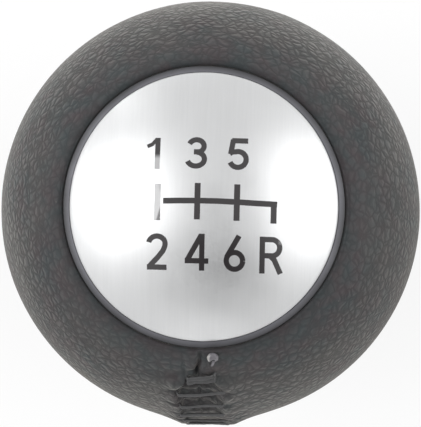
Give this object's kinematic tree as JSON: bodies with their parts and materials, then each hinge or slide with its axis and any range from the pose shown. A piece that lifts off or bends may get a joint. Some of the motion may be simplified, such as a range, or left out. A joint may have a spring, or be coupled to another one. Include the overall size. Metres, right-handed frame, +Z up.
{
  "type": "gear shift knob",
  "caption": "Ball shaped gear shift knob in black grained leather with a hand laced seam, a domed satin cap in a dark bezel and a threaded brass insert in its neck.",
  "frame": {"origin": "centre of the seat at the foot of the neck, on the lever's axis", "axes": "+Z up the lever's axis to the pattern cap, -Y to the driver and the laced seam, +X to the right of the pattern"},
  "size_m": [0.05, 0.0507, 0.06],
  "materials": {
    "cap_metal": "satin, fine grained, bead blasted and clear coated",
    "adhesive_tape": "foam adhesive",
    "black_plastic": "moulded, lightly textured",
    "bezel_metal": "dark satin plating",
    "leather": "pebble grained, low sheen",
    "thread": "waxed braided thread",
    "padding": "closed cell foam",
    "core_plastic": "moulded, matte",
    "screw_steel": "zinc plated",
    "weight_metal": "as cast zinc",
    "insert_brass": "turned"
  },
  "bodies": {
    "root": {"pattern_cap": "cap_metal", "cap_tape": "adhesive_tape", "cap_carrier": "black_plastic", "bezel_ring": "bezel_metal", "leather_cover": "leather", "seam_thread": "thread", "foam_liner": "padding", "upper_core": "core_plastic", "lower_core": "core_plastic", "core_screw_1": "screw_steel", "core_screw_2": "screw_steel", "core_screw_3": "screw_steel", "balance_weight": "weight_metal", "threaded_insert": "insert_brass", "neck_collar": "black_plastic", "retaining_ring": "screw_steel"}
  },
  "joints": []
}
